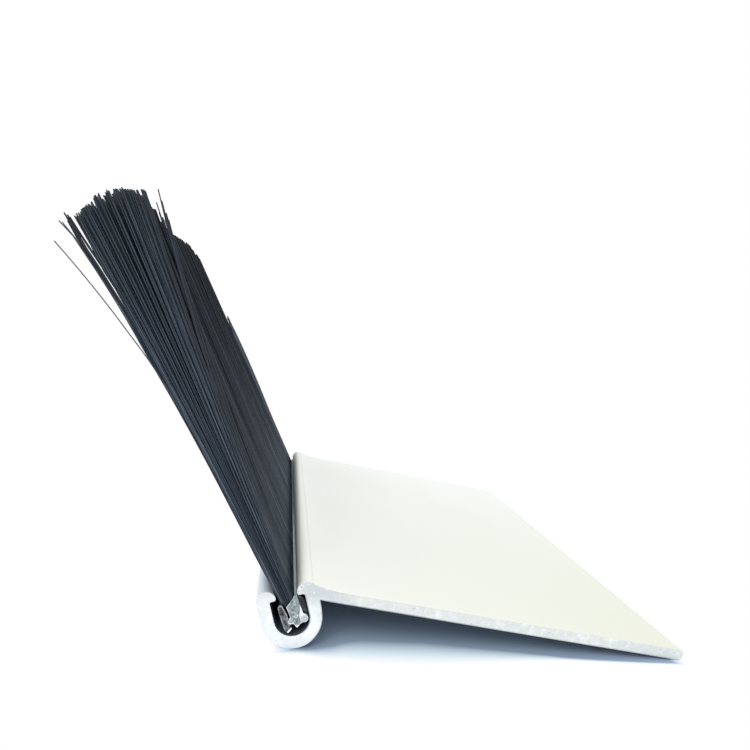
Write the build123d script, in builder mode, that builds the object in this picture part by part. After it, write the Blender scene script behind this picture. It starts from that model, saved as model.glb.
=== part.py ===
from build123d import *
from math import asin, atan2, cos, degrees, hypot, radians, sin
import os

# Brush seal strip, in millimetres.
# An extruded aluminium carrier has a wide flat flange and a round channel beside it.
# A strip brush sits in the channel's groove: filaments doubled over a core wire
# and pinched in a folded sheet channel, fanning out through the throat.
# +Y runs along the strip, the flange points to +X and +Z is up.
# The strip lies as it rests on a floor, on the channel's back and the flange's tip.
# The origin is on that floor, under the middle of the overall box.

# The whole strip
strip_length = 100.0
profile_width = 60.0

# Groove and channel of the carrier
groove_width = 4.8
groove_depth = 5.3
channel_wall = 1.7
throat_width = 2.9
lip_height = 1.5
lip_edge_radius = 0.3
groove_corner_radius = 0.3

# Flange of the carrier
flange_thickness = 1.5
flange_drop = 24.5
flange_offset = 4.55
flange_tip_radius = 0.5
root_fillet = 0.15
root_relief_width = 1.15
root_relief_rise = 0.17
crease_fillet = 18.0

# Folded sheet channel and core wire of the brush
sheet_thickness = 0.4
brush_channel_height = 4.7
core_wire_diameter = 1.1
brush_lean = 11.0
seat_direction = -27.0

# Filaments
pack_thickness = 1.75
brush_height = 62.0
fan_width = 7.6
tip_crown = 0.5
bound_length = 2.0
ray_count = 8
ray_tip_thickness = 0.14
tuft_pitch = 2.5
tuft_gap = 0.9

# Gap left between the pieces that touch in the real brush
fit_clearance = 0.02

# Sizes of the channel that follow from the ones above
# The section is drawn about the centre of the groove's round bottom,
# with x across the channel and y out of its mouth.
groove_radius = groove_width / 2
channel_radius = groove_radius + channel_wall
lip_underside = groove_depth - groove_radius
lip_radius = (channel_radius - throat_width / 2) / 2
lip_centre_x = channel_radius - lip_radius
lip_centre_y = lip_underside + lip_height - lip_radius
nose_reach = (lip_radius**2 - (lip_centre_y - lip_underside) ** 2) ** 0.5
nose_x = lip_centre_x - nose_reach
flange_reach = profile_width - channel_radius
flange_underside = flange_offset - flange_thickness

# How far the flange dips when its tip and the channel's back lie on the floor
tip_centre = (flange_reach - flange_tip_radius, flange_underside + flange_tip_radius)
tip_distance = hypot(*tip_centre)
drop_to_floor = degrees(asin((channel_radius - flange_tip_radius) / tip_distance))
flange_dip = drop_to_floor + degrees(atan2(tip_centre[1], tip_centre[0]))
channel_tilt = flange_drop - flange_dip

# Place of the brush: its back lies against the groove, low on the flange's side
core_radius = core_wire_diameter / 2
sheet_inner_radius = core_radius + pack_thickness / 2
sheet_outer_radius = sheet_inner_radius + sheet_thickness
mouth_height = brush_channel_height - sheet_outer_radius
tip_height = brush_height - sheet_outer_radius
seat_reach = groove_radius - sheet_outer_radius - fit_clearance
core_x = seat_reach * cos(radians(seat_direction))
core_y = seat_reach * sin(radians(seat_direction))
brush_tilt = brush_lean + channel_tilt

# Furthest points to either side of the groove's centre line
right_end = (
    (flange_reach - flange_tip_radius) * cos(radians(flange_dip))
    + (flange_offset - flange_tip_radius) * sin(radians(flange_dip))
    + flange_tip_radius
)
left_end = (
    core_x * cos(radians(channel_tilt))
    - core_y * sin(radians(channel_tilt))
    - (tip_height - tip_crown) * sin(radians(brush_tilt))
    - fan_width / 2 * cos(radians(brush_tilt))
)


def section_plane(place, tilt):
    """A plane across the strip at its far end, turned anticlockwise by the tilt."""
    across = (cos(radians(tilt)), 0, sin(radians(tilt)))
    return Plane(origin=place, x_dir=across, z_dir=(0, -1, 0))


channel_place = (-(left_end + right_end) / 2, strip_length / 2, channel_radius)
channel_plane = section_plane(channel_place, channel_tilt)
brush_place = channel_plane.from_local_coords((core_x, core_y, 0))
brush_plane = section_plane(brush_place, brush_tilt)


# Carrier: one extrusion, the channel with its two lips and the flange
# The flange is drawn level and then turned down about the channel's centre.
flange_frame = Plane.XY.rotated((0, 0, -flange_drop))
lip_place = flange_frame.to_local_coords(Vector(lip_centre_x, lip_centre_y))
flange_length = flange_reach - lip_place.X
flange_middle = (lip_place.X + flange_length / 2, flange_offset - flange_thickness / 2)
flange_place = flange_frame.from_local_coords(flange_middle)
crease_run = (lip_radius**2 - (flange_offset - lip_place.Y) ** 2) ** 0.5
crease = flange_frame.from_local_coords((lip_place.X + crease_run, flange_offset))
above = (Align.CENTER, Align.MIN)

# The underside is relieved where it meets the channel's wall
root_drop = channel_radius * sin(radians(flange_drop))
root_y = (flange_underside - root_drop) / cos(radians(flange_drop))
relief_top = (channel_radius, root_y + root_relief_rise)
relief_end = (
    channel_radius + root_relief_width * cos(radians(flange_drop)),
    root_y - root_relief_width * sin(radians(flange_drop)),
)

with BuildPart() as carrier:
    with BuildSketch(channel_plane) as profile:
        Circle(channel_radius)
        Rectangle(2 * channel_radius, channel_radius, align=above, mode=Mode.SUBTRACT)
        Rectangle(2 * channel_radius, lip_centre_y, align=above)
        with Locations((0, lip_underside)):
            Rectangle(2 * lip_centre_x, lip_height, align=above, mode=Mode.SUBTRACT)
        with Locations((lip_centre_x, lip_centre_y)):
            Circle(lip_radius)
        mirror(about=Plane.YZ)
        with Locations(flange_place):
            Rectangle(flange_length, flange_thickness, rotation=-flange_drop)
        with BuildLine():
            Polyline((channel_radius, root_y), relief_end, relief_top, close=True)
        make_face(mode=Mode.SUBTRACT)
        Circle(groove_radius, mode=Mode.SUBTRACT)
        Rectangle(groove_width, lip_underside, align=above, mode=Mode.SUBTRACT)
        fillet(profile.vertices().sort_by(Axis.X)[-2:], flange_tip_radius)
        fillet(profile.vertices().sort_by_distance(relief_top)[0], root_fillet)
        fillet(profile.vertices().sort_by_distance(crease)[0], crease_fillet)
        for side in (-1, 1):
            nose = profile.vertices().sort_by_distance((side * nose_x, lip_underside))[0]
            fillet(nose, lip_edge_radius)
            corner = profile.vertices().sort_by_distance((side * groove_radius, lip_underside))[0]
            fillet(corner, groove_corner_radius)
    extrude(amount=strip_length)
carrier.part.label = "carrier"


def pinched_section(radius, half_mouth):
    """The outline of something round at the wire and pinched in at the brush's mouth."""
    with BuildSketch() as section:
        with BuildLine():
            CenterArc((0, 0), radius, 0, 360)
            Line((-half_mouth, mouth_height), (half_mouth, mouth_height))
        make_hull()
    return section.sketch


fold_outside = pinched_section(sheet_outer_radius, pack_thickness / 2 + sheet_thickness)
fold_inside = pinched_section(sheet_inner_radius, pack_thickness / 2)
pack_half = pack_thickness / 2 - fit_clearance
filament_fold = pinched_section(sheet_inner_radius - fit_clearance, pack_half)

# Brush channel: sheet folded round the doubled filaments
with BuildPart() as brush_channel:
    with BuildSketch(brush_plane):
        add(fold_outside)
        add(fold_inside, mode=Mode.SUBTRACT)
    extrude(amount=strip_length)
brush_channel.part.label = "brush_channel"

# Core wire: the filaments are doubled over it
with BuildPart() as core_wire:
    with BuildSketch(brush_plane):
        Circle(core_radius)
    extrude(amount=strip_length)
core_wire.part.label = "core_wire"

# Bristles: a fold round the wire, then a fan notched into thin rays and tufts
# The notches start where the filaments are no longer bound and run out past the tips.
tip_side_height = tip_height - tip_crown
fan_spread = (fan_width / 2 - pack_half) / (tip_side_height - mouth_height)
notch_foot = mouth_height + bound_length
foot_width = 2 * (pack_half + bound_length * fan_spread)
ray_step = (fan_width - ray_tip_thickness) / (ray_count - 1)
tuft_count = round(strip_length / tuft_pitch)
tuft_step = strip_length / tuft_count


def notch(foot_x, tip_x, tip_gap):
    """A pointed notch from the bound filaments, as wide as the gap at the tips."""
    overrun = (tip_height + fan_width - notch_foot) / (tip_side_height - notch_foot)
    far_x = foot_x + (tip_x - foot_x) * overrun
    far_half = tip_gap / 2 * overrun
    far_y = tip_height + fan_width
    with BuildSketch() as outline:
        with BuildLine():
            Polyline(
                (foot_x, notch_foot),
                (far_x + far_half, far_y),
                (far_x - far_half, far_y),
                close=True,
            )
        make_face()
    return outline.sketch


ray_notches = [
    notch(
        foot_width * (ray / ray_count - 0.5),
        ray_step * (ray - ray_count / 2),
        ray_step - ray_tip_thickness,
    )
    for ray in range(1, ray_count)
]
tuft_notch = notch(0, 0, tuft_gap)
side_plane = Plane(
    origin=(brush_place.X, 0, brush_place.Z),
    x_dir=(0, 1, 0),
    z_dir=(cos(radians(brush_tilt)), 0, sin(radians(brush_tilt))),
)

with BuildPart() as bristles:
    with BuildSketch(brush_plane):
        add(filament_fold)
        Circle(core_radius + fit_clearance, mode=Mode.SUBTRACT)
    extrude(amount=strip_length)
    with BuildSketch(brush_plane):
        with BuildLine():
            left_tip = (-fan_width / 2, tip_side_height)
            right_tip = (fan_width / 2, tip_side_height)
            Polyline(left_tip, (-pack_half, mouth_height), (pack_half, mouth_height), right_tip)
            ThreePointArc(right_tip, (0, tip_height), left_tip)
        make_face()
        add(ray_notches, mode=Mode.SUBTRACT)
    extrude(amount=strip_length)
    with BuildSketch(side_plane):
        with GridLocations(tuft_step, 1, tuft_count - 1, 1):
            add(tuft_notch)
    extrude(amount=fan_width, both=True, mode=Mode.SUBTRACT)
bristles.part.label = "bristles"

os.makedirs("parts", exist_ok=True)
export_step(carrier.part, "parts/carrier.step")
export_step(brush_channel.part, "parts/brush_channel.step")
export_step(core_wire.part, "parts/core_wire.step")
export_step(bristles.part, "parts/bristles.step")
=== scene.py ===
from math import acos, atan2, cos, hypot, pi, radians, sin

import bpy
import numpy as np
from mathutils import Matrix, Vector, noise
from mathutils.geometry import delaunay_2d_cdt


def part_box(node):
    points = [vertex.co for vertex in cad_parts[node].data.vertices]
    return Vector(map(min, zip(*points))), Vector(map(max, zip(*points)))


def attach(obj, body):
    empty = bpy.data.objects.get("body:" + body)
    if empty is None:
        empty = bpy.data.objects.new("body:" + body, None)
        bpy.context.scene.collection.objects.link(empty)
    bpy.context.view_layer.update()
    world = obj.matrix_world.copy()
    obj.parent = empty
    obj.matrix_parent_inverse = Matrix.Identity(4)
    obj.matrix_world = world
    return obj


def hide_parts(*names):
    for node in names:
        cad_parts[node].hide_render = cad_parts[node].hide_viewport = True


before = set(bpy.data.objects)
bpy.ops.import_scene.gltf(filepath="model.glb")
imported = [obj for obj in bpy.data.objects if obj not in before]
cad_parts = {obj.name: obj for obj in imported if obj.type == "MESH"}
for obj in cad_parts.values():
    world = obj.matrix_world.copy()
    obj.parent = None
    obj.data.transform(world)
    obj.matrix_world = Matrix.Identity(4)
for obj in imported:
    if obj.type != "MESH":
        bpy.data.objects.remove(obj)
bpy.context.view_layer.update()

# Lengths are in metres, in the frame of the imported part.
MM = 0.001
rng = np.random.default_rng(20)

# The carrier's channel leans left and the brush in it leans further.
CHANNEL_TILT = radians(17.115)
BRUSH_LEAN = radians(11.0)
BRUSH_TILT = CHANNEL_TILT + BRUSH_LEAN

carrier_low, carrier_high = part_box("carrier")
wire_low, wire_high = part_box("core_wire")
WIRE_CENTRE = (wire_low + wire_high) / 2
NEAR_END = carrier_low.y
FAR_END = carrier_high.y
STRIP_LENGTH = FAR_END - NEAR_END

# Place of the wire in the channel's section, across it and out of its mouth
WIRE_IN_CHANNEL = (0.4945 * MM, -0.252 * MM)

# A place on the flange's underside and the direction square to it
UNDERSIDE_PLACE = (17.4296 * MM, 0.0, 3.2943 * MM)
FLANGE_UP = (0.12853, 0.0, 0.991706)

# The brush, measured from its wire along the filaments
MOUTH_HEIGHT = 2.875 * MM
PACK_HALF = 0.855 * MM


def brush_point(across, along, y):
    """Points of the row frame for places in the brush, as arrays or numbers."""
    x = WIRE_CENTRE.x + across * cos(BRUSH_TILT) - along * sin(BRUSH_TILT)
    z = WIRE_CENTRE.z + across * sin(BRUSH_TILT) + along * cos(BRUSH_TILT)
    return np.stack(np.broadcast_arrays(x, y, z), axis=-1)


def channel_point(across, out, y):
    """Points of the row frame for places in the channel's section."""
    across = across - WIRE_IN_CHANNEL[0]
    out = out - WIRE_IN_CHANNEL[1]
    x = WIRE_CENTRE.x + across * cos(CHANNEL_TILT) - out * sin(CHANNEL_TILT)
    z = WIRE_CENTRE.z + across * sin(CHANNEL_TILT) + out * cos(CHANNEL_TILT)
    return np.stack(np.broadcast_arrays(x, y, z), axis=-1)


# Node materials


class Nodes:
    """A material's node tree, with short calls to add and join nodes."""

    def __init__(self, name):
        self.material = bpy.data.materials.new(name)
        self.material.use_nodes = True
        self.tree = self.material.node_tree
        self.shader = self.tree.nodes["Principled BSDF"]
        self.place = self.add("ShaderNodeTexCoord").outputs["Object"]

    def give(self, socket, value):
        """Links a socket to another, or sets it to a number, vector or colour."""
        if isinstance(value, bpy.types.NodeSocket):
            self.tree.links.new(value, socket)
        else:
            socket.default_value = value

    def add(self, kind, values=None, **settings):
        node = self.tree.nodes.new(kind)
        for key, value in settings.items():
            setattr(node, key, value)
        for key, value in (values or {}).items():
            self.give(node.inputs[key], value)
        return node

    def set(self, **values):
        """Gives values to the shader's sockets, named with underscores for spaces."""
        for key, value in values.items():
            self.give(self.shader.inputs[key.replace("_", " ")], value)

    def xyz(self):
        """The object's coordinates, in metres, as three outputs."""
        return self.add("ShaderNodeSeparateXYZ", {"Vector": self.place}).outputs

    def scaled(self, x, y, z):
        """The object's coordinates, in metres, times a factor on each axis."""
        return self.add("ShaderNodeMapping", {"Vector": self.place, "Scale": (x, y, z)}).outputs[0]

    def along(self, start, axis):
        """How far each place of the surface lies from a start along an axis."""
        away = self.add("ShaderNodeVectorMath", {0: self.place, 1: start}, operation="SUBTRACT")
        values = {0: away.outputs[0], 1: axis}
        return self.add("ShaderNodeVectorMath", values, operation="DOT_PRODUCT").outputs["Value"]

    def noise(self, vector, detail, roughness=0.5):
        values = {"Vector": vector, "Scale": 1.0, "Detail": detail, "Roughness": roughness}
        return self.add("ShaderNodeTexNoise", values).outputs["Fac"]

    def point_value(self, name):
        """The number that each point of the mesh keeps under a name."""
        return self.add("ShaderNodeAttribute", attribute_name=name).outputs["Fac"]

    def ramp(self, factor, low, high, from_low=0.0, from_high=1.0):
        """A number in one range mapped to another range, and kept inside it."""
        values = {"Value": factor, "From Min": from_low, "From Max": from_high}
        values.update({"To Min": low, "To Max": high})
        return self.add("ShaderNodeMapRange", values).outputs[0]

    def mix(self, factor, first, second):
        """A colour between two colours."""
        node = self.add("ShaderNodeMix", {0: factor, 6: first, 7: second}, data_type="RGBA")
        return node.outputs[2]

    def math(self, operation, first, second=0.0, *others):
        """One number from one, two or more, which the operation joins in turn."""
        result = self.add("ShaderNodeMath", {0: first, 1: second}, operation=operation).outputs[0]
        for other in others:
            result = self.math(operation, result, other)
        return result

    def bump(self, height, strength, distance):
        values = {"Height": height, "Strength": strength, "Distance": distance}
        return self.add("ShaderNodeBump", values).outputs[0]


WHITE = (1.0, 1.0, 1.0, 1.0)


def places_in_channel(n):
    """How far across the channel and out of its mouth each place of a surface lies."""
    middle = tuple(channel_point(0.0, 0.0, 0.0))
    across = n.along(middle, (cos(CHANNEL_TILT), 0, sin(CHANNEL_TILT)))
    out = n.along(middle, (-sin(CHANNEL_TILT), 0, cos(CHANNEL_TILT)))
    return across, out


def from_middle(n, across, out):
    """The distance from the groove's middle line, which starts at its round bottom's centre."""
    below = n.math("MINIMUM", out, 0.0)
    square = n.math("ADD", n.math("MULTIPLY", below, below), n.math("MULTIPLY", across, across))
    return n.math("SQRT", square)


def inside_groove(n, across, out):
    """One on the walls of the channel's groove and zero elsewhere."""
    near = n.ramp(from_middle(n, across, out), 1.0, 0.0, 2.43 * MM, 2.47 * MM)
    return n.math("MULTIPLY", near, n.ramp(out, 1.0, 0.0, 2.91 * MM, 2.95 * MM))


def painted_arris_shade(n, across, out):
    """Painted shade on the lower arrises of the sawn end: in the groove, on the channel and under
    the flange.
    """
    away = from_middle(n, across, out)
    in_groove = n.ramp(away, 1.0, 0.0, 2.46 * MM, 2.58 * MM)
    below_lips = n.ramp(out, 1.0, 0.0, 2.80 * MM, 2.90 * MM)
    on_right = n.ramp(across, 0.0, 0.6, 0.5 * MM, 1.5 * MM)
    inner = n.math("MULTIPLY", in_groove, below_lips, on_right)
    outermost = n.ramp(away, 0.0, 0.9, 3.95 * MM, 4.05 * MM)
    on_channel = n.ramp(away, 1.0, 0.0, 4.10 * MM, 4.14 * MM)
    below_flange = n.ramp(out, 1.0, 0.0, -0.3 * MM, 0.2 * MM)
    on_right = n.ramp(across, 0.0, 1.0, 1.0 * MM, 2.5 * MM)
    outer = n.math("MULTIPLY", outermost, on_channel, below_flange, on_right)
    lowest = n.ramp(n.along(UNDERSIDE_PLACE, FLANGE_UP), 0.85, 0.0, 0.08 * MM, 0.18 * MM)
    on_flange = n.ramp(across, 0.0, 1.0, 4.4 * MM, 5.0 * MM)
    towards_tip = n.ramp(across, 1.0, 0.5, 16 * MM, 28 * MM)
    under = n.math("MULTIPLY", lowest, on_flange, towards_tip)
    return n.math("MAXIMUM", under, inner, outer)


def dark_nose(n, across, y):
    """The shade on the nose of the lip beside the flange, a little wider far back."""
    past_middle = n.ramp(across, 0.0, 1.0, 0.2 * MM, 0.4 * MM)
    across = n.math("SUBTRACT", across, n.ramp(y, 0.0, 0.65 * MM, -30 * MM, 35 * MM))
    return n.math("MULTIPLY", past_middle, n.ramp(across, 0.95, 0.0, 1.60 * MM, 2.60 * MM))


def carrier_material():
    """Pale matt aluminium with faint drawing lines, sawn ends and painted shade in its groove."""
    n = Nodes("extruded_aluminium")
    normal = n.add("ShaderNodeNewGeometry").outputs["Normal"]
    normal_y = n.add("ShaderNodeSeparateXYZ", {"Vector": normal}).outputs["Y"]
    end_face = n.ramp(n.math("ABSOLUTE", normal_y), 0.0, 1.0, 0.6, 0.8)
    # Long faces: drawn lines run the strip's length over a soft cloudy tone. How the tone
    # changes towards the flange's tip and along the strip, and how dark the lips, groove
    # and arrises are, is painted to match the photograph and stands partly for its shade.
    clouds = n.noise(n.scaled(60, 25, 60), detail=4.0)
    drawn = n.noise(n.scaled(5000, 12, 5000), detail=2.0)
    split = n.xyz()
    to_tip = n.ramp(split["X"], 0.0, 1.0, -10 * MM, 40 * MM)
    ivory = n.mix(to_tip, (0.92, 0.925, 0.86, 1), (0.815, 0.825, 0.705, 1))
    ivory = n.mix(n.ramp(split["Y"], 0.0, 0.8, -45 * MM, 45 * MM), ivory, (0.93, 0.94, 0.91, 1))
    ivory = n.mix(n.ramp(clouds, 0.0, 0.25, 0.35, 0.65), ivory, (0.84, 0.85, 0.76, 1))
    ivory = n.mix(n.ramp(drawn, 0.0, 0.05, 0.5, 0.9), ivory, (0.62, 0.63, 0.58, 1))
    across, out = places_in_channel(n)
    # The left lip is painted bluish white, as painted light on its side, turning to painted shade
    # towards the throat beside the brush
    to_throat = n.ramp(across, 0.0, 1.0, -3.7 * MM, -1.6 * MM)
    left_lip_light_and_shade = n.mix(to_throat, (0.82, 0.88, 0.93, 1), (0.42, 0.48, 0.53, 1))
    ivory = n.mix(n.ramp(split["X"], 1.0, 0.0, -14.5 * MM, -13.0 * MM), ivory, left_lip_light_and_shade)
    ivory = n.mix(dark_nose(n, across, split["Y"]), ivory, (0.34, 0.38, 0.32, 1))
    # A darker line along the crease between lip and flange is painted shade
    crease_shade_line = n.math("ABSOLUTE", n.math("SUBTRACT", across, 3.80 * MM))
    ivory = n.mix(n.ramp(crease_shade_line, 0.5, 0.0, 0.04 * MM, 0.14 * MM), ivory, (0.70, 0.72, 0.70, 1))
    # Sawn ends: bright round the channel, greyer on the flange and greyest at its root, which is
    # painted shade, with soft patches, a fine mottle and a few specks
    patches = n.noise(n.scaled(260, 260, 260), detail=4.0, roughness=0.6)
    mottle = n.noise(n.scaled(1500, 1500, 1500), detail=5.0, roughness=0.65)
    beyond_channel = n.ramp(split["X"], 0.0, 1.0, -8.8 * MM, -7.6 * MM)
    lips = n.math("MAXIMUM", n.ramp(split["Z"], 0.0, 1.0, 5.6 * MM, 7.4 * MM), beyond_channel)
    from_root = n.math("ABSOLUTE", n.math("SUBTRACT", split["X"], -9.0 * MM))
    root = n.math("MULTIPLY", n.ramp(from_root, 0.85, 0.0, 1.5 * MM, 6.0 * MM), lips)
    sawn = n.mix(lips, (0.81, 0.84, 0.85, 1), (0.68, 0.70, 0.685, 1))
    sawn = n.mix(root, sawn, (0.54, 0.57, 0.59, 1))
    sawn = n.mix(n.ramp(patches, 0.0, 0.7, 0.50, 0.68), sawn, (0.66, 0.70, 0.73, 1))
    sawn = n.mix(n.ramp(patches, 0.6, 0.0, 0.34, 0.46), sawn, (0.90, 0.93, 0.94, 1))
    sawn = n.mix(n.ramp(mottle, 0.0, 0.7, 0.52, 0.74), sawn, (0.58, 0.62, 0.66, 1))
    sawn = n.mix(n.ramp(mottle, 0.7, 0.0, 0.28, 0.46), sawn, (0.92, 0.94, 0.95, 1))
    specks = n.noise(n.scaled(1700, 1700, 1700), detail=1.0)
    sawn = n.mix(n.ramp(specks, 0.0, 0.8, 0.71, 0.77), sawn, (0.30, 0.32, 0.35, 1))
    colour = n.mix(end_face, ivory, sawn)
    # Painted shade on the sawn end's lower arrises
    arris = n.math("MULTIPLY", painted_arris_shade(n, across, out), end_face)
    colour = n.mix(arris, colour, (0.16, 0.18, 0.22, 1))
    # Painted shade darkens the groove's walls, but not the sawn end
    groove = n.math("MULTIPLY", inside_groove(n, across, out), n.math("SUBTRACT", 1.0, end_face))
    colour = n.mix(groove, colour, (0.09, 0.11, 0.135, 1))
    n.set(Base_Color=colour, Metallic=0.08)
    n.set(Roughness=n.ramp(clouds, 0.50, 0.60, 0.3, 0.7), Specular_IOR_Level=0.3)
    height = n.math("ADD", n.math("MULTIPLY", drawn, 0.4), n.math("MULTIPLY", mottle, end_face))
    n.set(Normal=n.bump(height, 0.25, 0.00008))
    return n.material


def filament_material():
    """Slate-black polymer, each filament a little lighter or darker than the next."""
    n = Nodes("black_filaments")
    # Each point's tone carries random differences and painted shade and light
    tone = n.point_value("tone")
    colour = n.mix(tone, (0.006, 0.009, 0.014, 1), (0.122, 0.157, 0.202, 1))
    # Darker stretches, long and thin along the filaments
    turned = n.add("ShaderNodeMapping", {"Vector": n.place, "Rotation": (0, BRUSH_TILT, 0)})
    values = {"Vector": turned.outputs[0], "Scale": (4000, 4000, 150)}
    along = n.noise(n.add("ShaderNodeMapping", values).outputs[0], detail=2.0)
    colour = n.mix(n.ramp(along, 0.0, 0.7, 0.45, 0.70), colour, (0.010, 0.014, 0.022, 1))
    n.set(Base_Color=colour, Roughness=n.ramp(tone, 0.55, 0.30))
    n.set(Specular_IOR_Level=0.22, Specular_Tint=(0.80, 0.91, 1.0, 1))
    return n.material


def galvanised_material():
    """Grey zinc-coated sheet, mottled, with painted shade and bright torn edges that carry painted
    highlights.
    """
    n = Nodes("galvanised_sheet")
    spangle = n.noise(n.scaled(1500, 700, 1500), detail=4.0, roughness=0.6)
    colour = n.mix(n.ramp(spangle, 0.0, 1.0, 0.3, 0.7), (0.17, 0.21, 0.22, 1), (0.46, 0.52, 0.54, 1))
    # Below zero the sheet is painted slate dark as painted shade, above it bright as torn metal with
    # a painted highlight
    shine_and_shade = n.point_value("shine_and_shade")
    colour = n.mix(n.ramp(shine_and_shade, 1.0, 0.0, -1.0, 0.0), colour, (0.018, 0.024, 0.030, 1))
    colour = n.mix(n.ramp(shine_and_shade, 0.0, 1.0, 0.15, 0.85), colour, (0.86, 0.93, 0.96, 1))
    n.set(Base_Color=colour, Metallic=0.4, Roughness=n.ramp(spangle, 0.35, 0.55, 0.3, 0.7))
    n.set(Normal=n.bump(spangle, 0.4, 0.00006))
    return n.material


def wire_material():
    """Bright drawn steel wire."""
    n = Nodes("drawn_wire")
    streaks = n.noise(n.scaled(4000, 60, 4000), detail=2.0)
    colour = n.mix(n.ramp(streaks, 0.0, 1.0, 0.3, 0.7), (0.42, 0.48, 0.53, 1), (0.60, 0.67, 0.72, 1))
    # The cut edge is painted bright, a painted highlight on the cut metal
    shine_and_shade = n.point_value("shine_and_shade")
    colour = n.mix(n.ramp(shine_and_shade, 0.0, 1.0, 0.35, 0.95), colour, (0.90, 0.96, 0.98, 1))
    n.set(Base_Color=colour, Metallic=0.5, Roughness=0.35)
    n.set(Normal=n.bump(streaks, 0.2, 0.00003))
    return n.material


# Meshes


def mesh_object(name, points, faces, material):
    mesh = bpy.data.meshes.new(name)
    mesh.from_pydata(points, [], faces)
    mesh.materials.append(material)
    made = bpy.data.objects.new(name, mesh)
    bpy.context.scene.collection.objects.link(made)
    return made


def tube_faces(tubes, rings, sides):
    """Quads along each tube and one polygon on each end, as lists of point numbers."""
    ring = np.arange(sides)
    quad = np.stack([ring, np.roll(ring, -1), np.roll(ring, -1) + sides, ring + sides], axis=1)
    quads = (quad[None] + (np.arange(rings - 1) * sides)[:, None, None]).reshape(-1, 4)
    starts = (np.arange(tubes) * rings * sides)[:, None, None]
    quads = (quads[None] + starts).reshape(-1, 4)
    bottom = (ring[::-1][None] + starts[:, 0]).tolist()
    top = (ring[None] + (rings - 1) * sides + starts[:, 0]).tolist()
    return quads.tolist() + bottom + top


FILAMENT_RADIUS = 0.1 * MM
FILAMENT_SIDES = 6

# Shares of a filament's free length at which it has a ring, above one ring at its foot
RISE = np.array([0.0, 0.10, 0.26, 0.46, 0.66, 0.85, 1.0])

# The feet's height above the wire, and where the shear has pushed those at the near end
FOOT_ALONG = 0.6 * MM
CRUSHED_FOOT = (-0.37 * MM, 1.9 * MM)
CRUSHED_DEPTH = 3.0 * MM
MOUTH_INSET = 0.25 * MM
FOOT_INSET = 0.55 * MM


def keep_value(piece, name, values):
    """Keeps one number for each point of a mesh, for its material."""
    kept = piece.data.attributes.new(name, "FLOAT", "POINT")
    kept.data.foreach_set("value", np.asarray(values, dtype=np.float32))


def filament_mesh(name, lines, tones, material, radii=FILAMENT_RADIUS):
    """One mesh of round filaments along the given lines, an array of tube, ring and place."""
    tubes, rings, _ = lines.shape
    angles = 2 * pi * np.arange(FILAMENT_SIDES) / FILAMENT_SIDES
    across = np.array([cos(BRUSH_TILT), 0, sin(BRUSH_TILT)])
    sideways = np.array([0, 1, 0])
    circle = np.cos(angles)[:, None] * across + np.sin(angles)[:, None] * sideways
    radii = np.broadcast_to(radii, tubes)[:, None, None, None]
    points = (lines[:, :, None] + radii * circle).reshape(-1, 3)
    faces = tube_faces(tubes, rings, FILAMENT_SIDES)
    piece = mesh_object(name, points, faces, material)
    sides = tubes * (rings - 1) * FILAMENT_SIDES
    smooth = np.arange(len(piece.data.polygons)) < sides
    piece.data.polygons.foreach_set("use_smooth", smooth)
    keep_value(piece, "tone", np.repeat(tones.reshape(-1), FILAMENT_SIDES))
    return piece


def with_feet(y, side, across, along, station):
    """Adds each filament's foot, which the crushed near end has pushed up and together."""
    crush = np.clip(1 - (y - NEAR_END) / CRUSHED_DEPTH, 0, 1)
    free_foot = side * PACK_HALF
    foot_across = free_foot + crush * (CRUSHED_FOOT[0] + 0.15 * free_foot - free_foot)
    foot_along = FOOT_ALONG + crush * (CRUSHED_FOOT[1] - FOOT_ALONG)
    across = np.concatenate([foot_across[:, None], across], axis=1)
    along = np.concatenate([foot_along[:, None], along], axis=1)
    station[:, 0] = np.maximum(station[:, 0], NEAR_END + MOUTH_INSET)
    foot_station = np.maximum(station[:, :1], NEAR_END + FOOT_INSET)
    station = np.concatenate([foot_station, station], axis=1)
    return brush_point(across, along, station)


def filament_lines(y, side, tip_across, tip_along, tip_y, flare):
    """Lines that run straight out of the mouth and curve outwards to their tips."""
    mouth = (side * PACK_HALF)[:, None]
    along = MOUTH_HEIGHT + (tip_along - MOUTH_HEIGHT)[:, None] * RISE
    across = mouth + (tip_across[:, None] - mouth) * RISE ** flare[:, None]
    station = y[:, None] + (tip_y - y)[:, None] * RISE
    return with_feet(y, side, across, along, station)


# How far the tips reach to the left and right of the brush's middle, from the near end on.
# This table and those of the trim and of the loose and parted filaments started as rounded
# output of separate scripts, which worked out the places of edges in the photograph, and
# were then changed by hand.
REACH_DEPTHS = np.array([0, 4, 8, 12, 16, 20, 24, 29, 36, 45, 50, 57, 65, 79, 96, 100]) * MM
REACH_RIGHT = MM * np.array(
    [4.2, 4.4, 4.25, 3.95, 3.6, 3.25, 2.8, 2.3, 2.2, 2.1, 2.22, 2.22, 2.5, 1.65, 0.85, 0.7]
)
REACH_LEFT = np.linspace(-3.95, -3.1, len(REACH_DEPTHS)) * MM

FILAMENT_COUNT = 5600
BUNCH_COUNT = 620
GOLDEN_SHARE = 0.618034

# How far the bunches and the single tips stray across the brush and along the strip,
# and how far they fall short of the trim
BUNCH_SPREAD = 0.16 * MM
BUNCH_SHIFT = 0.6 * MM
BUNCH_SHORT = 0.18 * MM
TIP_SPREAD = 0.06 * MM
TIP_SHIFT = 0.18 * MM
TIP_SHORT = 0.12 * MM
CUT_SHORT = 1.5 * MM
LOOSE_SPREAD = 0.5 * MM
LOOSE_SHIFT = 2.0 * MM

# The shares of the filaments that are loose, cut short or lighter than the rest
LOOSE_SHARE = 0.02
CUT_SHORT_SHARE = 0.05
LIGHT_SHARE = 0.08

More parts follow.
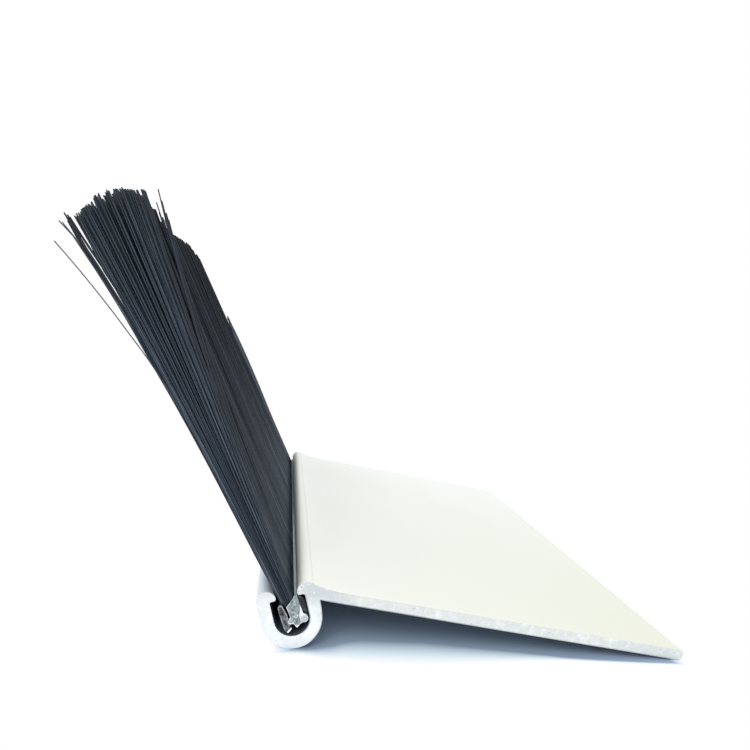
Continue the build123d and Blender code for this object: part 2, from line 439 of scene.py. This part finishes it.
# The trimmed tips' height along the brush, at places across it, in millimetres
TRIM_ACROSS = (-3.9, -2.9, -1.8, -1.2, -0.5, 0.2, 1.0, 1.75, 3.0, 4.3, 5.2)
TRIM_HEIGHT = (59.3, 59.80, 59.90, 60.15, 60.15, 60.30, 60.55, 60.64, 60.15, 59.45, 58.8)


def tip_height(across):
    return MM * np.interp(across / MM, TRIM_ACROSS, TRIM_HEIGHT)


def nearest(y, side, bunch_y, bunch_side):
    """The bunch that each filament belongs to: bunches are long and thin in the pack."""
    apart = (y[:, None] - bunch_y) ** 2 + ((side[:, None] - bunch_side) * 3.5 * PACK_HALF) ** 2
    return np.argmin(apart, axis=1)


def fan_tips(y, side, bunch, bunch_side, behind):
    """Where each filament's tip lies across and along the brush and along the strip."""
    count = len(y)
    # The bunches stand apart less on the cut near end than behind it
    bunch_across = rng.normal(0, BUNCH_SPREAD, BUNCH_COUNT)[bunch] * (0.5 + 0.5 * behind)
    bunch_shift = rng.normal(0, BUNCH_SHIFT, BUNCH_COUNT)[bunch] * (0.3 + 0.7 * behind)
    gathered_side = bunch_side[bunch] + 0.85 * (side - bunch_side[bunch])
    left = np.interp(y - NEAR_END, REACH_DEPTHS, REACH_LEFT)
    right = np.interp(y - NEAR_END, REACH_DEPTHS, REACH_RIGHT)
    gathered = (left + right) / 2 + gathered_side * (right - left) / 2
    tip_across = gathered + bunch_across + rng.normal(0, TIP_SPREAD, count)
    loose = rng.random(count) < LOOSE_SHARE
    tip_across += np.where(loose, rng.normal(0, LOOSE_SPREAD, count), 0)
    tip_across = np.clip(tip_across, left, right + 0.2 * MM)
    tip_y = y + bunch_shift + rng.normal(0, TIP_SHIFT, count)
    tip_y += np.where(loose, rng.normal(0, LOOSE_SHIFT, count), 0)
    tip_y = np.clip(tip_y, NEAR_END - 0.4 * MM, FAR_END + 0.4 * MM)
    short = np.abs(rng.normal(0, BUNCH_SHORT, BUNCH_COUNT))[bunch]
    short = short + np.abs(rng.normal(0, TIP_SHORT, count))
    tip_along = tip_height(tip_across) - short
    cut_short = rng.random(count) < CUT_SHORT_SHARE
    tip_along -= np.where(cut_short, CUT_SHORT * rng.random(count), 0)
    return tip_across, tip_along, tip_y


def fan_tones(bunch, behind):
    """How light each filament is along its length.

    Filaments differ at random, most at their feet, and part of that spread is painted shade
    between them. The near end is painted darker at its tips, and the brush's side darker
    than its end and lighter at its foot, as painted shade and light.
    """
    count = len(bunch)
    low = 1 - np.concatenate([[0], RISE])
    own = rng.normal(0, 0.09, count) + np.where(rng.random(count) < LIGHT_SHARE, 0.25, 0)
    own = own[:, None]
    side = behind[:, None]
    end = 1 - side
    tones = 0.25 - 0.22 * side + 0.05 * rng.random(BUNCH_COUNT)[bunch][:, None]
    tones = tones + own * (end * (0.2 + 2.6 * low) + side * (0.3 + 1.6 * low**2))
    tones = tones + end * (0.8 * low * (1 - low) - 0.06) + 0.34 * side * low**3
    return np.clip(tones, 0, 1)


def fan_filaments():
    """The brush's filaments and their tones, gathered in small bunches at the tips."""
    count = FILAMENT_COUNT
    place = np.arange(count)
    y = NEAR_END + STRIP_LENGTH * (place + rng.random(count)) / count
    y = np.clip(y, NEAR_END + FILAMENT_RADIUS, FAR_END - FILAMENT_RADIUS)
    side = np.clip(2 * (place * GOLDEN_SHARE % 1) - 1 + rng.normal(0, 0.05, count), -1, 1)
    bunch_y = NEAR_END + STRIP_LENGTH * rng.random(BUNCH_COUNT)
    bunch_side = rng.uniform(-1, 1, BUNCH_COUNT)
    bunch = nearest(y, side, bunch_y, bunch_side)
    behind = 1 - np.exp(-(y - NEAR_END) / CRUSHED_DEPTH)
    tip_across, tip_along, tip_y = fan_tips(y, side, bunch, bunch_side, behind)
    tones = fan_tones(bunch, behind)
    return filament_lines(y, side, tip_across, tip_along, tip_y, 1.50 - 0.30 * behind), tones


# Loose filaments at the near end, in millimetres: depth from the near end, across
# and along at the tip, how sharply it curves outwards, its share of full thickness.
LOOSE_NEAR = (
    (0.4, -0.74, 60.5, 1.4, 0.9),
    (0.5, -0.45, 60.3, 1.4, 0.9),
    (0.5, -0.92, 60.3, 1.4, 1.0),
    (0.6, -0.60, 60.6, 1.4, 1.0),
    (0.7, -0.28, 60.5, 1.4, 1.0),
    (0.4, -0.12, 60.6, 1.4, 1.0),
    (0.4, 0.95, 60.6, 1.4, 1.0),
    (1.0, 4.38, 59.3, 1.4, 1.0),
    (1.3, 4.80, 59.3, 1.4, 1.0),
    (1.7, 4.93, 59.3, 1.5, 1.0),
    (2.3, 5.00, 59.3, 1.5, 1.0),
    (2.7, 5.03, 59.2, 1.5, 1.0),
    (4.7, 6.46, 59.3, 2.1, 0.8),
    (5.0, 6.20, 57.6, 2.1, 1.0),
    (5.4, 6.06, 56.2, 2.0, 1.0),
    (5.9, 5.95, 55.4, 1.9, 1.0),
    (4.9, 6.22, 57.8, 2.1, 1.0),
    (5.2, 6.10, 57.2, 2.0, 1.0),
    (7.9, 5.25, 58.5, 1.5, 0.8),
    (8.2, 5.00, 57.2, 1.5, 0.9),
    (8.6, 5.10, 56.5, 1.5, 1.0),
    (9.4, 5.20, 56.2, 1.5, 1.0),
    (10.2, 5.15, 55.8, 1.5, 1.0),
    (10.9, 5.00, 55.6, 1.5, 1.0),
    (6.6, 5.75, 56.8, 1.7, 1.0),
)
LOOSE_TONE = 0.18

# Filaments that part from the brush's left edge at the near end, in millimetres:
# heights along the brush, and places across it at those heights. The last line is the
# bulge of shorter filaments at the right edge of the far end.
LINE_HEIGHTS = (
    2.9, 8.0, 14.7, 23.7, 30.3, 34.7, 39.2, 43.5,
    46.4, 49.0, 51.8, 54.3, 56.6, 58.3, 59.3,
)
OUTER = (
    -0.87, -1.24, -1.52, -1.91, -2.31, -2.65, -3.06, -3.38,
    -3.65, -3.95, -4.32, -4.71, -5.02, -5.52, -5.88,
)
FORKED = (
    -0.85, -1.16, -1.44, -1.83, -2.23, -2.57, -2.94, -3.24,
    -3.50, -3.82, -4.26, -4.65, -4.97, -5.40, -5.68,
)
TURNED = (
    -0.85, -1.16, -1.44, -1.83, -2.23, -2.57, -2.90, -3.13,
    -3.32, -3.66, -3.99, -4.40, -4.68, -4.76, -4.84,
)
CROSSING = (
    -0.85, -1.08, -1.25, -1.50, -1.80, -2.05, -2.25, -2.45,
    -2.65, -2.92, -3.38, -3.78, -4.14, -4.34, -4.50,
)
CLOSING = (
    -0.85, -1.08, -1.30, -1.65, -2.02, -2.32, -2.60, -2.72,
    -2.78, -3.12, -3.50, -3.54, -3.60, -3.72, -3.80,
)
LONG_STRAY = (
    -0.85, -1.10, -1.35, -1.70, -2.05, -2.50, -3.15, -4.02,
    -4.62, -5.22, -5.91, -6.58, -7.24, -7.75, -8.05,
)
BULGED = (
    0.85, 0.92, 1.00, 1.30, 1.45, 1.48, 1.44, 1.34,
    1.40, 1.30, 1.20, 1.10, 1.00, 0.90, 0.85,
)

# For each parted filament, the line that it follows, its shift from that line at the tip,
# depth from the near end, height, share of full thickness and tone
PARTED = (
    (OUTER, 0.00, 0.25, 59.3, 0.8, 0.35),
    (FORKED, 0.00, 0.30, 59.0, 0.7, 0.40),
    (TURNED, -0.12, 0.35, 58.9, 1.0, 0.10),
    (TURNED, 0.00, 0.25, 59.95, 1.0, 0.05),
    (TURNED, 0.12, 0.30, 59.3, 1.0, 0.15),
    (TURNED, 0.24, 0.30, 59.5, 1.0, 0.10),
    (CROSSING, -0.12, 0.35, 59.6, 1.0, 0.05),
    (CROSSING, 0.00, 0.30, 59.2, 1.0, 0.10),
    (CLOSING, 0.00, 0.30, 58.8, 1.0, 0.10),
    (CLOSING, -0.08, 0.50, 58.5, 1.0, 0.25),
    (LONG_STRAY, 0.00, 0.20, 57.25, 0.75, 0.50),
)
FINE_RISE = np.linspace(0, 1, 25)


def smooth_line(heights, places, at):
    """A smooth curve through the given places, read at other heights."""
    heights, places = np.array(heights), np.array(places)
    slopes = np.gradient(places, heights)
    cell = np.clip(np.searchsorted(heights, at) - 1, 0, len(heights) - 2)
    step = heights[cell + 1] - heights[cell]
    t = (at - heights[cell]) / step
    before = (2 * t**3 - 3 * t**2 + 1) * places[cell] + (t**3 - 2 * t**2 + t) * step * slopes[cell]
    after = (3 * t**2 - 2 * t**3) * places[cell + 1] + (t**3 - t**2) * step * slopes[cell + 1]
    return before + after


def fine_heights(top):
    """Heights in millimetres from the mouth to a top, close enough for a bent line."""
    foot = MOUTH_HEIGHT / MM
    return foot + (top - foot) * FINE_RISE


def parted_filaments():
    """Lines of the strands and the long stray that part from the left edge."""
    made = []
    for places, shift, depth, top, _, _ in PARTED:
        along = fine_heights(top)
        across = smooth_line(LINE_HEIGHTS, places, along) + shift * FINE_RISE
        y = np.array([NEAR_END + depth * MM])
        station = np.full((1, len(FINE_RISE)), y[0])
        made.append(with_feet(y, np.array([-1.0]), across[None] * MM, along[None] * MM, station))
    return np.concatenate(made)


def bulging_filaments(count=90):
    """Lines of the shorter filaments that bulge out to the right at the far end, and tones."""
    depth = 8 * MM * rng.random(count)**2
    y = FAR_END - FILAMENT_RADIUS - depth
    along = fine_heights(rng.uniform(40, 45.3, count)[:, None] - 0.6 * depth[:, None] / MM)
    bulge = smooth_line(LINE_HEIGHTS, BULGED, along) - BULGED[0]
    reach = np.sqrt(rng.random(count))[:, None] * (1 - 0.05 * depth[:, None] / MM)
    across = BULGED[0] + reach * bulge
    station = np.repeat(y[:, None], len(FINE_RISE), axis=1)
    lines = with_feet(y, np.ones(count), across * MM, along * MM, station)
    # The outer ones are lighter, as painted light along the bulge's outer edge
    own = rng.random(count)[:, None]
    tones = 0.2 * own + (0.1 + 0.4 * own) * np.clip((reach - 0.3) / 0.4, 0, 1)
    return lines, np.repeat(tones, lines.shape[1], axis=1)


def loose_filaments():
    depth, across, along, flare, _ = np.array(LOOSE_NEAR).T
    y = NEAR_END + depth * MM
    side = np.sign(across) * np.minimum(1, np.abs(across) / 4)
    return filament_lines(y, side, across * MM, along * MM, y, flare)


def table_filaments(name, lines, thickness, tone, material):
    """One mesh of the filaments in a table, each with its own thickness and tone."""
    tones = np.repeat(np.array(tone)[:, None], lines.shape[1], axis=1)
    return filament_mesh(name, lines, tones, material, FILAMENT_RADIUS * np.array(thickness))


def build_bristles():
    material = filament_material()
    lines, tones = fan_filaments()
    pieces = []
    names = ("bristles_near", "bristles_middle", "bristles_far")
    for name, group, tone in zip(names, np.array_split(lines, 3), np.array_split(tones, 3)):
        pieces.append(filament_mesh(name, group, tone, material))
    pieces.append(filament_mesh("bristles_bulging", *bulging_filaments(), material))
    thickness = [row[4] for row in LOOSE_NEAR]
    tone = [LOOSE_TONE] * len(LOOSE_NEAR)
    pieces.append(table_filaments("bristles_loose", loose_filaments(), thickness, tone, material))
    thickness, tone = zip(*(row[4:] for row in PARTED))
    pieces.append(table_filaments("bristles_parted", parted_filaments(), thickness, tone, material))
    for piece in pieces:
        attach(piece, "root")
        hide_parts("bristles")


# The folded sheet backing and its wire, crushed at the near end by the shear that cut them

SHEET_THICKNESS = 0.4 * MM
SHEET_CENTRE_RADIUS = 1.625 * MM
MOUTH_HALF = 1.075 * MM
MOUTH_SPRUNG = 0.14 * MM
BACKING_CRUSH = 5.0 * MM

# The depths between which the shine on the sheet's rim fades
RIM_FADE = (24 * MM, 60 * MM)

# The crushed fold's middle line in the channel's section and its half thickness, in
# millimetres, from the left wall's edge to the right wall's edge
CRUSHED_FOLD = (
    (-1.16, 1.70, 0.24),
    (-1.06, 0.90, 0.32),
    (-0.98, 0.10, 0.36),
    (-0.98, -0.50, 0.36),
    (-0.92, -1.05, 0.30),
    (-0.20, -0.80, 0.12),
    (0.40, -1.10, 0.12),
    (1.00, -0.84, 0.12),
    (1.65, -0.60, 0.14),
    (2.02, -0.20, 0.16),
    (1.98, 0.50, 0.26),
    (1.80, 1.30, 0.28),
    (1.55, 2.10, 0.24),
    (1.12, 2.72, 0.19),
)

# Outlines of the torn pieces that close the crushed end, in the channel's section:
# across, out, and the rim's painted light, from slate-dark painted shade (-1) over plain (0)
# to white, bright torn metal with a painted highlight (1).
# Their places were picked by eye on the enlarged photograph and turned into millimetres
# by a separate script, and most stand here as that script printed them.
STRIP = (
    (-1.50, 1.75, 0.3), (-1.33, 1.91, 0.9), (-1.08, 1.94, 1.0), (-0.89, 1.80, 1.0),
    (-0.81, 1.42, 0.9), (-0.69, 0.98, 0.8), (-0.59, 0.64, 0.7), (-0.51, 0.32, 0.5),
    (-0.51, 0.03, 0.3), (-0.62, -0.31, 0.2), (-0.57, -0.64, 0.3), (-0.52, -0.93, 0.1),
    (-0.63, -1.19, -0.2), (-0.88, -1.44, -0.3), (-1.13, -1.67, -0.2), (-1.29, -1.52, -0.3),
    (-1.37, -1.14, -0.3), (-1.38, -0.69, -0.3), (-1.43, -0.29, -0.2), (-1.47, 0.26, -0.2),
    (-1.48, 0.85, -0.1), (-1.51, 1.30, 0.0),
)
FLAP = (
    (-0.39, 1.60, 1.0), (-0.14, 1.83, 1.0), (0.18, 2.07, 1.0), (0.53, 2.36, 1.0),
    (0.83, 2.64, 0.9), (0.91, 2.84, 0.4), (1.30, 2.82, 0.2), (1.34, 2.54, 0.0),
    (1.41, 2.08, -0.3), (1.42, 1.64, -0.2), (1.36, 1.12, 0.0), (1.21, 0.57, 0.2),
    (1.10, 0.11, 0.5), (1.11, -0.49, 0.5), (1.40, -0.88, 1.0), (1.15, -0.94, 1.0),
    (0.89, -1.04, 1.0), (0.66, -1.25, 1.0), (0.43, -1.40, 1.0), (0.29, -1.29, 1.0),
    (0.20, -1.08, 1.0), (0.05, -0.79, 1.0), (-0.17, -0.71, 1.0), (-0.44, -0.77, 1.0),
    (-0.56, -0.57, 1.0), (-0.60, -0.37, 0.9), (-0.47, -0.11, 1.0), (-0.19, 0.08, 0.8),
    (-0.19, 0.34, 0.5), (-0.26, 0.72, 0.4), (-0.32, 1.17, 0.7),
)
WALL = (
    (1.20, 2.76, -0.3), (1.78, 2.47, -0.6), (2.12, 2.09, -0.8), (2.22, 1.57, -1.0),
    (2.27, 0.87, -1.0), (2.34, 0.26, -0.9), (2.29, -0.30, -0.8), (1.60, -0.70, -0.5),
    (1.20, -0.60, -0.2), (1.15, 0.60, 0.0), (1.30, 1.45, 0.2), (1.28, 1.87, -0.4),
)
SMEAR = (
    (1.38, 1.55, 0.4), (1.48, 1.38, 0.5), (1.56, 0.87, 0.8), (1.60, 0.36, 1.0),
    (1.82, 0.16, 1.0), (2.05, -0.02, 1.0), (1.70, 0.00, 1.0), (1.31, -0.20, 1.0),
    (1.16, -0.60, 1.0), (1.09, -0.48, 1.0), (1.04, -0.17, 1.0), (1.08, 0.21, 1.0),
    (1.25, 0.65, 0.9), (1.33, 1.12, 0.6),
)
SLIVER = (
    (-1.03, -1.72, 0.9), (-0.90, -1.53, 1.0), (-0.61, -1.35, 1.0), (-0.39, -1.21, 1.0),
    (-0.29, -1.36, 1.0), (-0.50, -1.54, 1.0), (-0.77, -1.72, 1.0), (-0.95, -1.83, 1.0),
)
FLAP_DENT = (0.58, 0.20)
WIRE_END = (1.60, -0.40)

# Spacing of the torn pieces' points, in millimetres: round the rim, over the face, the
# face points' stray and their least distance from the rim, and the width of the shiny rim
RIM_STEP = 0.1
GRID_STEP = 0.11
GRID_JITTER = 0.02
GRID_MARGIN = 0.07
RIM_WIDTH = 0.08


def even_line(points, count):
    """The same line with its points evenly spaced along it."""
    points = np.asarray(points, dtype=float)
    steps = np.hypot(*np.diff(points[:, :2], axis=0).T)
    run = np.concatenate([[0], np.cumsum(steps)])
    at = np.linspace(0, run[-1], count)
    return np.stack([np.interp(at, run, column) for column in points.T], axis=1)


def nominal_fold(count):
    """The uncrushed fold's middle line and half thickness in the channel's section."""
    reach = hypot(MOUTH_HALF, MOUTH_HEIGHT)
    tangent = atan2(MOUTH_HEIGHT, MOUTH_HALF) - acos(SHEET_CENTRE_RADIUS / reach)
    turn = np.linspace(pi - tangent, 2 * pi + tangent, 40)
    sprung = MOUTH_HALF + MOUTH_SPRUNG
    across = np.concatenate([[-MOUTH_HALF], SHEET_CENTRE_RADIUS * np.cos(turn), [sprung]])
    along = np.concatenate([[MOUTH_HEIGHT], SHEET_CENTRE_RADIUS * np.sin(turn), [MOUTH_HEIGHT]])
    channel_across = WIRE_IN_CHANNEL[0] + across * cos(BRUSH_LEAN) - along * sin(BRUSH_LEAN)
    channel_out = WIRE_IN_CHANNEL[1] + across * sin(BRUSH_LEAN) + along * cos(BRUSH_LEAN)
    half = np.full(len(across), SHEET_THICKNESS / 2)
    return even_line(np.stack([channel_across, channel_out, half], axis=1), count)


def recovered(depth):
    """How far the crushed section has gone back to its true shape, from zero to one."""
    share = np.clip(depth / BACKING_CRUSH, 0, 1)
    return share * share * (3 - 2 * share)


def build_backing(material):
    """The folded sheet, lofted from behind its crushed near end to its true section."""
    count = 60
    size = 2 * count
    crushed = even_line(CRUSHED_FOLD, count) * MM
    nominal = nominal_fold(count)
    depths = [*np.linspace(0.1, 1, 11) * BACKING_CRUSH, *RIM_FADE, STRIP_LENGTH]
    # The sheared rim beside the flange carries a painted highlight out of the throat near the end,
    # fading to painted shade far back, and the crushed end is painted darker as painted shade
    rims = np.zeros(size)
    rims[[count - 1, count]] = 1
    rings = []
    shades = []
    for depth in depths:
        share = recovered(depth)
        across, out, half = (crushed + (nominal - crushed) * share).T
        heading = np.stack([np.gradient(across), np.gradient(out)])
        heading /= np.hypot(*heading)
        outer = np.stack([across + heading[1] * half, out - heading[0] * half])
        inner = np.stack([across - heading[1] * half, out + heading[0] * half])
        outline = np.concatenate([outer, inner[:, ::-1]], axis=1)
        rings.append(channel_point(outline[0], outline[1], NEAR_END + depth))
        shine = np.interp(depth, RIM_FADE, [1.0, -0.2])
        shades.append(rims * shine - 0.8 * (1 - rims) * (1 - share))
    # The ends are closed by quads across the sheet
    faces = tube_faces(1, len(rings), size)[:-2]
    last = (len(rings) - 1) * size
    for i in range(count - 1):
        cap = (i, size - 1 - i, size - 2 - i, i + 1)
        faces.append(cap)
        faces.append([last + j for j in reversed(cap)])
    piece = mesh_object("backing", np.concatenate(rings), faces, material)
    keep_value(piece, "shine_and_shade", np.concatenate(shades))
    finish_metal(piece, "brush_channel")


def finish_metal(piece, node):
    """Smooths a sheet piece, keeps its edges sharp, and puts it in place of its node."""
    piece.data.polygons.foreach_set("use_smooth", [True] * len(piece.data.polygons))
    piece.data.set_sharp_from_angle(angle=radians(35))
    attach(piece, "root")
    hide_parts(node)


def distances(places, others):
    """From each place to each of the others, in a plane."""
    return np.hypot(*(places[:, None] - others[None]).transpose(2, 0, 1))


def filled_outline(outline):
    """Points and triangles that fill an outline, with a loose grid of points inside it."""
    count = len(outline)
    low, high = outline.min(axis=0), outline.max(axis=0)
    steps = np.maximum(2, ((high - low) / GRID_STEP).astype(int))
    grid = np.stack(np.meshgrid(*(np.linspace(low[i], high[i], steps[i]) for i in (0, 1))), -1)
    inner = grid.reshape(-1, 2) + rng.normal(0, GRID_JITTER, (grid.size // 2, 2))
    inner = inner[distances(inner, outline).min(axis=1) > GRID_MARGIN]
    places = [Vector(place) for place in np.concatenate([outline, inner])]
    edges = [(i, (i + 1) % count) for i in range(count)]
    found = delaunay_2d_cdt(places, edges, [], 1, 1e-6)
    flat = np.array([tuple(place) for place in found[0]])
    return flat, [list(face) for face in found[2]]


def rough(places, scale, layer):
    """Smooth noise at places in a plane, at a scale per millimetre."""
    return np.array([noise.noise((x * scale, y * scale, layer)) for x, y in places])


def crumpled_sheet(name, outline, depth, thickness, relief, shade, node, material, dent=None):
    """A thin torn piece of metal with the given outline, facing the near end."""
    closed = np.array(outline + outline[:1])
    length = np.hypot(*np.diff(closed[:, :2], axis=0).T).sum()
    rims = even_line(closed, int(length / RIM_STEP))[:-1]
    flat, triangles = filled_outline(rims[:, :2])
    # Soft folds with finer creases, the piece's painted shade and light varied softly, and rims
    # that stand out with their own painted highlights and shade
    folds = rough(flat, 0.9, 4.1) + 0.7 * rough(flat, 3.0, 9.7)
    height = relief * (0.5 + np.clip(folds, -0.8, 0.8) / 1.6)
    shine = shade + 1.1 * np.clip(rough(flat, 3.2, 2.3), -0.5, 0.4)
    # The dent's raised ring carries a painted highlight
    if dent is not None:
        ring = np.exp(-(((np.hypot(*(flat - dent).T) - 0.30) / 0.07) ** 2))
        ring *= flat[:, 1] < dent[1] + 0.1
        height += 0.10 * ring
        shine += 0.8 * ring
    gaps = distances(flat, rims[:, :2])
    rim = np.exp(-((gaps.min(axis=1) / RIM_WIDTH) ** 2))
    rim_shine = rims[gaps.argmin(axis=1), 2]
    height += (0.5 * relief + 0.08 * rim_shine - height) * rim
    shine += (rim_shine - shine) * rim
    front = NEAR_END + (depth + np.maximum(relief + 0.1 - height, 0)) * MM
    sides = (front, front + thickness * MM)
    points = np.concatenate([channel_point(*(flat.T * MM), side) for side in sides])
    total = len(flat)
    faces = []
    for a, b, c in triangles:
        faces.append((a, c, b))
        faces.append((a + total, b + total, c + total))
    borders = {(i, j) for face in triangles for i, j in zip(face, face[1:] + face[:1])}
    open_borders = [(i, j) for i, j in sorted(borders) if (j, i) not in borders]
    faces += [(i, j, j + total, i + total) for i, j in open_borders]
    piece = mesh_object(name, points, faces, material)
    keep_value(piece, "shine_and_shade", np.clip(np.concatenate([shine, shine]), -1, 1))
    finish_metal(piece, node)


def build_core_wire(material):
    """The wire, bent aside where the shear cut it, with its cut end slightly rounded over."""
    sides = 20
    angles = 2 * pi * np.arange(sides) / sides
    radius = (wire_high.x - wire_low.x) / 2
    end_depth = 0.05 * MM
    bend = np.linspace(0, BACKING_CRUSH, 14)[1:]
    depths = np.array([0, 0, end_depth, *bend, STRIP_LENGTH])[:, None]
    radii = radius * np.array([0.70, 0.90] + [1.0] * (len(depths) - 2))[:, None]
    share = recovered(np.where(depths > end_depth, depths, 0))
    middle = np.array(WIRE_END) * MM * (1 - share) + np.array(WIRE_IN_CHANNEL) * share
    across = middle[:, :1] + radii * np.cos(angles)
    out = middle[:, 1:] + radii * np.sin(angles)
    points = channel_point(across, out, NEAR_END + depths).reshape(-1, 3)
    piece = mesh_object("core_wire_bent", points, tube_faces(1, len(depths), sides), material)
    # The rounded edge of the cut carries a painted highlight
    shine_and_shade = np.zeros(len(points))
    shine_and_shade[sides : 3 * sides] = 0.8
    keep_value(piece, "shine_and_shade", shine_and_shade)
    finish_metal(piece, "core_wire")


def build_backing_and_wire():
    sheet = galvanised_material()
    wire = wire_material()
    build_backing(sheet)
    build_core_wire(wire)
    # The number after each piece's relief is its painted shade below zero and painted light above
    # zero
    crumpled_sheet("backing_wall", WALL, 0.30, 0.30, 0.10, -1.20, "brush_channel", sheet)
    crumpled_sheet("backing_strip", STRIP, 0.05, 0.50, 0.15, -0.78, "brush_channel", sheet)
    crumpled_sheet("backing_flap", FLAP, 0.0, 0.18, 0.18, -0.16, "brush_channel", sheet, FLAP_DENT)
    crumpled_sheet("backing_sliver", SLIVER, 0.05, 0.25, 0.05, 0.8, "brush_channel", sheet)
    crumpled_sheet("wire_smear", SMEAR, 0.0, 0.20, 0.05, 0.9, "core_wire", wire)


def dress_carrier():
    """Gives the carrier its material and softly broken edges."""
    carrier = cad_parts["carrier"]
    carrier.data.materials.clear()
    carrier.data.materials.append(carrier_material())
    bevel = carrier.modifiers.new("broken_edges", "BEVEL")
    bevel.width = 0.06 * MM
    bevel.segments = 2
    bevel.limit_method = "ANGLE"
    bevel.angle_limit = radians(40)


# Stage, light and camera


def seen_directly(tree):
    """One for camera, glossy and transmission rays, and zero for the light's own."""
    path = tree.nodes.new("ShaderNodeLightPath")
    total = path.outputs["Is Camera Ray"]
    for name in ("Is Glossy Ray", "Is Transmission Ray"):
        greater = tree.nodes.new("ShaderNodeMath")
        greater.operation = "MAXIMUM"
        tree.links.new(total, greater.inputs[0])
        tree.links.new(path.outputs[name], greater.inputs[1])
        total = greater.outputs[0]
    return total


def build_floor():
    """A floor that is painted blue-grey under the part and runs out to plain white.

    The blue-grey stands for part of the shade there in the photograph. It ends a few
    millimetres beyond the sawn ends, and the white beyond it shows no shadow.
    """
    size = 3.0
    corners = [(-size, -size, 0), (size, -size, 0), (size, size, 0), (-size, size, 0)]
    n = Nodes("floor_with_painted_shade")
    split = n.xyz()
    # The fringe of light under the flange is narrow at the channel, widest beside it
    # and narrow again towards the flange's tip
    past_end = n.math("SUBTRACT", n.math("ABSOLUTE", split["Y"]), 50.6 * MM)
    fringe = n.ramp(split["X"], 7.0 * MM, 0.9 * MM, 6.0 * MM, 26.0 * MM)
    at_channel = n.ramp(split["X"], 1.2 * MM, 7.0 * MM, -11.0 * MM, -3.0 * MM)
    fringe = n.math("MINIMUM", fringe, at_channel)
    fringe = n.math("SUBTRACT", fringe, n.ramp(split["X"], 0.0, 0.3 * MM, 28.0 * MM, 38.0 * MM))
    start = n.ramp(split["X"], 0.15, 0.55, -11.0 * MM, -5.0 * MM)
    start = n.math("MINIMUM", start, n.ramp(split["X"], 0.55, -0.60, 24.0 * MM, 38.0 * MM))
    beyond_ends = n.math("ADD", n.math("DIVIDE", past_end, fringe), start)
    beyond_left = n.ramp(split["X"], 1.0, 0.0, -14.8 * MM, -12.2 * MM)
    beyond_right = n.ramp(split["X"], 0.0, 1.0, 41.5 * MM, 43.4 * MM)
    beyond = n.ramp(n.math("MAXIMUM", beyond_ends, beyond_left, beyond_right), 0.0, 1.0)
    n.set(Base_Color=n.mix(beyond, (0.31, 0.39, 0.52, 1), (0.95, 0.96, 0.97, 1)))
    n.set(Roughness=0.9, Specular_IOR_Level=0.0)
    # Near the part the glow turns light blue, a painted fringe of light at the edge of the shade
    glow = n.mix(n.ramp(beyond, 0.0, 1.0, 0.4, 1.0), (0.70, 0.88, 1.0, 1), WHITE)
    white = n.add("ShaderNodeEmission", {"Color": glow, "Strength": 1.0}).outputs[0]
    factor = n.math("MULTIPLY", beyond, seen_directly(n.tree))
    mixed = n.add("ShaderNodeMixShader", {0: factor, 1: n.shader.outputs[0], 2: white}).outputs[0]
    n.tree.links.new(mixed, n.tree.nodes["Material Output"].inputs["Surface"])
    floor = mesh_object("floor", corners, [(0, 1, 2, 3)], n.material)


def area_light(name, place, target, size, power, colour):
    data = bpy.data.lights.new(name, "AREA")
    data.shape = "DISK"
    data.size = size
    data.energy = power
    data.color = colour
    lamp = bpy.data.objects.new(name, data)
    lamp.location = place
    lamp.rotation_euler = (Vector(target) - Vector(place)).to_track_quat("-Z", "Y").to_euler()
    bpy.context.scene.collection.objects.link(lamp)


def build_light():
    """The even light of a photographer's tent, a little stronger from above the near end."""
    area_light("softbox", (-0.42, -0.90, 0.84), (0, 0, 0.01), 0.7, 6.2, (1.0, 0.985, 0.96))
    world = bpy.data.worlds.new("light_tent")
    bpy.context.scene.world = world
    world.use_nodes = True
    tree = world.node_tree
    light = tree.nodes["Background"]
    light.inputs["Color"].default_value = (0.95, 0.98, 1.0, 1)
    light.inputs["Strength"].default_value = 0.92
    backdrop = tree.nodes.new("ShaderNodeBackground")
    backdrop.inputs["Color"].default_value = WHITE
    backdrop.inputs["Strength"].default_value = 1.0
    mix = tree.nodes.new("ShaderNodeMixShader")
    tree.links.new(seen_directly(tree), mix.inputs[0])
    tree.links.new(light.outputs[0], mix.inputs[1])
    tree.links.new(backdrop.outputs[0], mix.inputs[2])
    tree.links.new(mix.outputs[0], tree.nodes["World Output"].inputs["Surface"])


SENSOR_WIDTH = 36.0
PICTURE_WIDTH = 750
FOCAL_LENGTH_IN_PIXELS = 733


def build_camera():
    """A camera where the photograph's stood, a little rolled, looking along the strip.

    Its place and directions were fitted to points of the photograph by a separate script.
    """
    place = Vector((-15.93, -145.84, 43.14)) * MM
    right = Vector((0.9896, -0.1171, 0.0831)).normalized()
    forward = Vector((0.1222, 0.9907, -0.0595)).normalized()
    up = right.cross(forward)
    data = bpy.data.cameras.new("camera")
    data.sensor_width = SENSOR_WIDTH
    data.lens = SENSOR_WIDTH * FOCAL_LENGTH_IN_PIXELS / PICTURE_WIDTH
    data.clip_start = 0.005
    data.clip_end = 20.0
    camera = bpy.data.objects.new("camera", data)
    turn = Matrix((right, up, -forward)).transposed().to_4x4()
    camera.matrix_world = Matrix.Translation(place) @ turn
    bpy.context.scene.collection.objects.link(camera)
    bpy.context.scene.camera = camera


dress_carrier()
build_backing_and_wire()
build_bristles()
build_floor()
build_light()
build_camera()
bpy.context.scene.view_settings.view_transform = "Standard"
